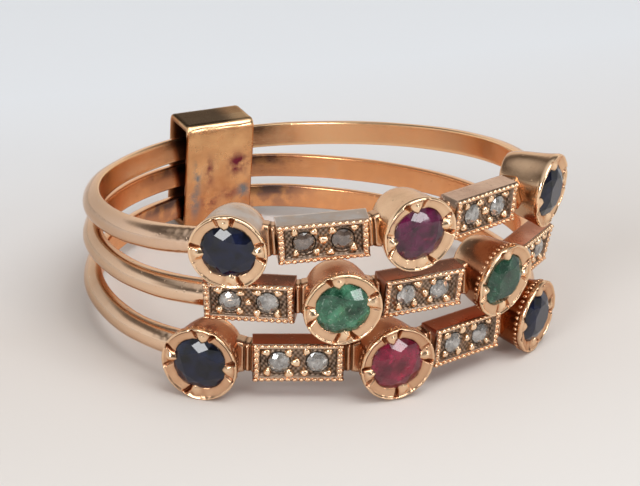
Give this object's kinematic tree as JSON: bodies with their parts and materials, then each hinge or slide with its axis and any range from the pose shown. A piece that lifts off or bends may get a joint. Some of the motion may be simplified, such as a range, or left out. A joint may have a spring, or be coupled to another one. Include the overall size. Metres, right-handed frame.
{
  "type": "gemstone ring",
  "caption": "Rose gold ring of slender fanned bands held in a sleeve, with collet-set coloured stones and diamond plaques, lying on its side.",
  "frame": {"origin": "on the surface the ring lies on, under the middle of its bounding box", "axes": "+Z along the finger axis and up as the ring lies on its side, -Y toward the jewelled front, +Y toward the keeper, +X to the right seen from the front"},
  "size_m": [0.0192, 0.0222, 0.0085],
  "materials": {
    "rose_gold": "worn polish",
    "worn_rose_gold": "heat-tarnished, scratched",
    "sapphire": "faceted, polished",
    "ruby": "faceted, polished",
    "emerald": "faceted, polished",
    "diamond": "faceted, polished"
  },
  "bodies": {
    "root": {"upper_band": "rose_gold", "middle_band": "rose_gold", "lower_band": "rose_gold", "keeper": "worn_rose_gold", "sapphire_upper_left": "sapphire", "ruby_upper": "ruby", "sapphire_upper_right": "sapphire", "emerald_middle_left": "emerald", "emerald_middle_right": "emerald", "sapphire_lower_left": "sapphire", "ruby_lower": "ruby", "sapphire_lower_right": "sapphire", "diamond_1": "diamond", "diamond_2": "diamond", "diamond_3": "diamond", "diamond_4": "diamond", "diamond_5": "diamond", "diamond_6": "diamond", "diamond_7": "diamond", "diamond_8": "diamond", "diamond_9": "diamond", "diamond_10": "diamond", "diamond_11": "diamond", "diamond_12": "diamond", "diamond_13": "diamond", "diamond_14": "diamond"}
  },
  "joints": []
}
